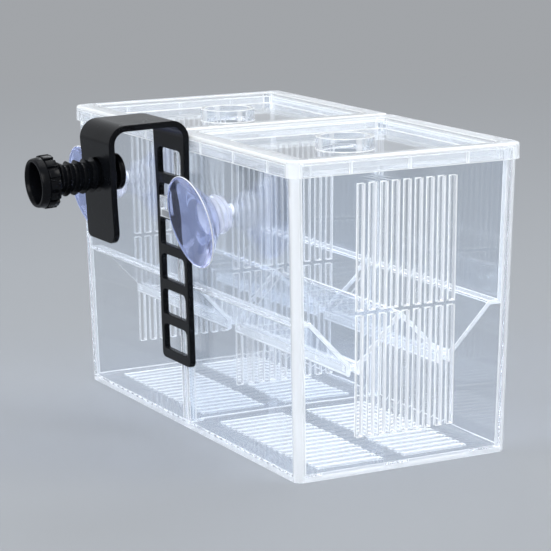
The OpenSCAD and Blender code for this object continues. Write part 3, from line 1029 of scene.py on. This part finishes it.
@dataclass
class ClampScrew:
    """Coarse clamp screw with a ribbed cup-shaped knob and a round pad."""

    height: float = 108.5 * MM
    pad_face: float = 75.58 * MM
    pad_back: float = 78.18 * MM
    pad_radius: float = 7.2 * MM
    knob_in: float = 102.08 * MM
    knob_length: float = 9.7 * MM
    knob_radius: float = 10.4 * MM
    thread_radius: float = 6.5 * MM
    core_radius: float = 5.3 * MM
    pitch: float = 3.6 * MM
    ribs: int = 14

    def axis(self, along: float) -> Matrix:
        """Place of a point of the screw's axis, with +Z pointing away from the tank.

        Args:
            along: Distance of the point from the tank's middle plane.

        Returns:
            Its place and direction.
        """
        upright = Matrix.Translation((0, -along, self.height))
        return CLAMPED @ upright @ Matrix.Rotation(math.radians(90), 4, "X")

    def thread(self) -> bpy.types.Object:
        """Ridge of the thread, swept along a spiral.

        Returns:
            The ridge.
        """
        start, end = self.pad_back + 1.2 * MM, self.knob_in + 0.6 * MM
        turns = (end - start) / self.pitch
        shaper = Shaper(
            "screw_thread",
            {
                "Turns": ("NodeSocketFloat", turns),
                "Radius": ("NodeSocketFloat", self.core_radius),
                "Length": ("NodeSocketFloat", end - start),
                "Ridge": ("NodeSocketFloat", self.thread_radius - self.core_radius),
                "Pitch": ("NodeSocketFloat", self.pitch),
            },
        )
        inputs = shaper.inlet.outputs
        spiral = shaper.node(
            "GeometryNodeCurveSpiral",
            {},
            {
                "Resolution": 48,
                "Rotations": inputs["Turns"],
                "Start Radius": inputs["Radius"],
                "End Radius": inputs["Radius"],
                "Height": inputs["Length"],
            },
        )
        upright = shaper.node(
            "GeometryNodeSetCurveNormal", {"mode": "Z_UP"}, {"Curve": spiral.outputs[0]}
        )
        section = shaper.node(
            "GeometryNodeCurvePrimitiveQuadrilateral",
            {"mode": "TRAPEZOID"},
            {
                "Height": shaper.maths("MULTIPLY", inputs["Ridge"], 2.0),
                "Bottom Width": shaper.maths("MULTIPLY", inputs["Pitch"], 0.86),
                "Top Width": shaper.maths("MULTIPLY", inputs["Pitch"], 0.14),
                "Offset": 0.0,
            },
        )
        swept = shaper.node(
            "GeometryNodeCurveToMesh",
            {},
            {
                "Curve": upright.outputs[0],
                "Profile Curve": section.outputs[0],
                "Fill Caps": True,
            },
        )
        shaper.finish(swept.outputs[0], BLACK)
        return shaper.shaped("clamp_screw_thread", self.axis(start))

    def core(self) -> bpy.types.Object:
        """Core of the screw, from the pad to the knob.

        Returns:
            The core.
        """
        length = self.knob_in - self.pad_back + 1.0 * MM
        return turned(
            "clamp_screw_core",
            [
                (0.0, 0.3 * MM), (self.core_radius - 0.6 * MM, 0.3 * MM),
                (self.core_radius, 0.9 * MM), (self.core_radius, length), (0.0, length),
            ],
            self.axis(self.pad_back),
            64,
            (BLACK,),
        )

    def knob(self) -> bpy.types.Object:
        """Body of the knob: neck, drum, smooth front ring and deep hollow.

        Returns:
            The knob's body.
        """
        r, l = self.knob_radius, self.knob_length
        return turned(
            "clamp_knob",
            [
                (0.0, 0.0), (6.3 * MM, 0.0), (6.6 * MM, 0.5 * MM), (8.1 * MM, 1.4 * MM),
                (r - 1.0 * MM, 2.1 * MM), (r - 0.9 * MM, l - 3.6 * MM), (r - 0.5 * MM, l - 3.1 * MM),
                (r - 0.8 * MM, l - 0.7 * MM), (r - 1.1 * MM, l - 0.15 * MM),
                (r - 1.5 * MM, l), (r - 2.0 * MM, l - 0.1 * MM), (r - 2.4 * MM, l - 0.6 * MM),
                (r - 2.7 * MM, l - 1.6 * MM), (r - 3.0 * MM, l - 6.0 * MM),
                (r - 3.6 * MM, l - 6.6 * MM), (0.0, l - 6.6 * MM),
            ],
            self.axis(self.knob_in),
            96,
            (BLACK,),
        )

    def grips(self) -> bpy.types.Object:
        """Block ribs set evenly round the knob.

        Returns:
            The ribs.
        """
        shaper = Shaper(
            "knob_grips",
            {
                "Count": ("NodeSocketInt", self.ribs),
                "Radius": ("NodeSocketFloat", self.knob_radius - 0.75 * MM),
                "Depth": ("NodeSocketFloat", 1.5 * MM),
                "Width": ("NodeSocketFloat", 3.2 * MM),
                "Length": ("NodeSocketFloat", self.knob_length - 5.4 * MM),
            },
        )
        inputs = shaper.inlet.outputs
        ring = shaper.node(
            "GeometryNodeMeshCircle", {}, {"Vertices": inputs["Count"], "Radius": inputs["Radius"]}
        )
        size = shaper.node(
            "ShaderNodeCombineXYZ",
            {},
            {"X": inputs["Depth"], "Y": inputs["Width"], "Z": inputs["Length"]},
        )
        block = shaper.node("GeometryNodeMeshCube", {}, {"Size": size.outputs[0]})
        place = shaper.node("GeometryNodeInputPosition")
        facing = shaper.node(
            "FunctionNodeAlignRotationToVector", {"axis": "X"}, {"Vector": place.outputs[0]}
        )
        set_round = shaper.node(
            "GeometryNodeInstanceOnPoints",
            {},
            {
                "Points": ring.outputs[0],
                "Instance": block.outputs[0],
                "Rotation": facing.outputs[0],
            },
        )
        shaper.finish(set_round.outputs[0], BLACK)
        return shaper.shaped(
            "clamp_knob_grips", self.axis(self.knob_in + self.knob_length / 2 - 0.6 * MM)
        )

    def pad(self) -> bpy.types.Object:
        """Round pad that presses on the glass, with a slightly dished face.

        Returns:
            The pad.
        """
        r, t = self.pad_radius, self.pad_back - self.pad_face
        return turned(
            "clamp_pad_disc",
            [
                (0.0, 0.25 * MM), (r * 0.55, 0.12 * MM), (r - 0.9 * MM, 0.0), (r - 0.4 * MM, 0.12 * MM),
                (r - 0.05 * MM, 0.5 * MM), (r, 0.9 * MM), (r, t - 0.6 * MM), (r - 0.2 * MM, t - 0.15 * MM),
                (r - 0.6 * MM, t), (0.0, t),
            ],
            self.axis(self.pad_face),
            72,
            (BLACK,),
        )

    def build(self) -> None:
        """Make and dress the screw, its knob and its pad."""
        thread, core, knob, grips, pad = (
            self.thread(), self.core(), self.knob(), self.grips(), self.pad()
        )
        for piece in (core, knob, pad):
            shade_by_angle(piece.data, 40.0)
        shade_by_angle(thread.data, 50.0)
        for piece, width in ((grips, 0.35 * MM), (thread, 0.12 * MM)):
            round_edges(piece, width, 2, 35.0, clamp=True)
            baked(piece)
            shade_by_angle(piece.data, 30.0)
        settle(knob, "screw", Slot.BLACK, ("clamp_screw",))
        for piece in (core, thread, grips):
            settle(piece, "screw", Slot.BLACK)
        settle(pad, "pad", Slot.BLACK, ("clamp_pad",))


# ---------------------------------------------------------------- studio


@dataclass(frozen=True)
class Lamp:
    """One soft box."""

    name: str
    place: tuple[float, float, float]
    aim: tuple[float, float, float]
    size: float
    power: float
    colour: Colour = (1.0, 1.0, 1.0)


@dataclass
class Studio:
    """Plain pale floor, soft light and the camera."""

    azimuth: float = 61.93
    elevation: float = 11.37
    roll: float = -0.48
    place: tuple[float, float, float] = (0.8104, -0.4365, 0.2433)
    focal: float = 148.70
    bounces: int = 64
    open_passes: int = 28
    lamps: tuple[Lamp, ...] = field(
        default_factory=lambda: (
            Lamp("key_box", (0.9, 0.9, 1.3), (0, 0, 0.05), 0.7, 8.0, (1.0, 0.99, 0.97)),
            Lamp("left_box", (-0.1, -1.5, 0.9), (0, 0, 0.08), 0.6, 6.0, (0.94, 0.97, 1.0)),
            Lamp("front_box", (1.25, -1.0, 0.9), (0, 0, 0.06), 1.0, 11.0),
            Lamp("top_box", (-0.2, 0.1, 1.6), (0, 0, 0), 1.0, 5.0),
            Lamp("back_box", (-1.2, 0.5, 1.3), (0, 0, 0.06), 0.6, 5.0, (0.92, 0.96, 1.0)),
        )
    )

    def floor(self) -> None:
        """Lay the floor."""
        half, low = 9.0, -0.4 * MM
        corners = [(-half, -half, low), (half, -half, low), (half, half, low), (-half, half, low)]
        mesh = bpy.data.meshes.new("floor")
        mesh.from_pydata(corners, [], [(0, 1, 2, 3)])
        new_piece("floor", mesh, (StageFloor("pale_floor"),))

    def light(self) -> None:
        """Set the lamps and the pale surroundings."""
        for lamp in self.lamps:
            data = bpy.data.lights.new(lamp.name, "AREA")
            data.shape, data.size, data.energy, data.color = (
                "SQUARE", lamp.size, lamp.power, lamp.colour
            )
            holder = bpy.data.objects.new(lamp.name, data)
            holder.location = lamp.place
            holder.rotation_euler = (
                (Vector(lamp.aim) - Vector(lamp.place)).to_track_quat("-Z", "Y").to_euler()
            )
            bpy.context.scene.collection.objects.link(holder)
        world = bpy.data.worlds.new("studio")
        world.use_nodes = True
        background = world.node_tree.nodes["Background"]
        background.inputs["Color"].default_value = (0.93, 0.96, 1.0, 1.0)
        background.inputs["Strength"].default_value = 0.6
        bpy.context.scene.world = world

    def camera(self) -> None:
        """Set the camera."""
        az, el, roll = (math.radians(v) for v in (self.azimuth, self.elevation, self.roll))
        back = Vector((math.sin(az) * math.cos(el), -math.cos(az) * math.cos(el), math.sin(el)))
        right = Vector((math.cos(az), math.sin(az), 0))
        up = back.cross(right)
        right, up = (
            right * math.cos(roll) + up * math.sin(roll),
            up * math.cos(roll) - right * math.sin(roll),
        )
        data = bpy.data.cameras.new("camera")
        data.sensor_width, data.lens = 36.0, self.focal
        data.clip_start, data.clip_end = 0.01, 50.0
        holder = bpy.data.objects.new("camera", data)
        turn = Matrix((right, up, back)).transposed().to_4x4()
        holder.matrix_world = Matrix.Translation(self.place) @ turn
        bpy.context.scene.collection.objects.link(holder)
        bpy.context.scene.camera = holder

    def build(self) -> None:
        """Make the whole stage."""
        self.floor()
        self.light()
        self.camera()
        bpy.context.scene.view_settings.view_transform = "Standard"
        # Light takes many turns in a clear sheet before it leaves
        light_paths = bpy.context.scene.cycles
        light_paths.max_bounces = self.bounces
        light_paths.glossy_bounces = self.bounces
        light_paths.transmission_bounces = self.bounces
        light_paths.transparent_max_bounces = self.open_passes


def main() -> None:
    """Build the stage and every piece, in order."""
    logging.basicConfig(level=logging.INFO, format="%(message)s")
    Studio().build()
    ClearMoulding("tank", "tank", corner=(91 * MM, 42 * MM), foot=2.2 * MM).build()
    ClearMoulding("divider", "divider", 0.25 * MM, narrow=2.1 * MM).build()
    for side in ("front", "rear"):
        ClearMoulding(f"{side}_fry_tray", f"{side}_tray", 0.2 * MM, banded=4.2 * MM).build()
    for side in ("front", "rear"):
        lid = ClearMoulding(f"{side}_lid", f"{side}_lid", banded=6.6 * MM, corner=(93 * MM, 44 * MM))
        lid.build()
    SuctionCup("front_cup", "front_suction_cup", "front_cup", 45.8 * MM).build()
    SuctionCup("rear_cup", "rear_suction_cup", "rear_cup", -50.4 * MM).build()
    HangingBracket().build()
    ClampScrew().build()


if __name__ == "__main__":
    main()
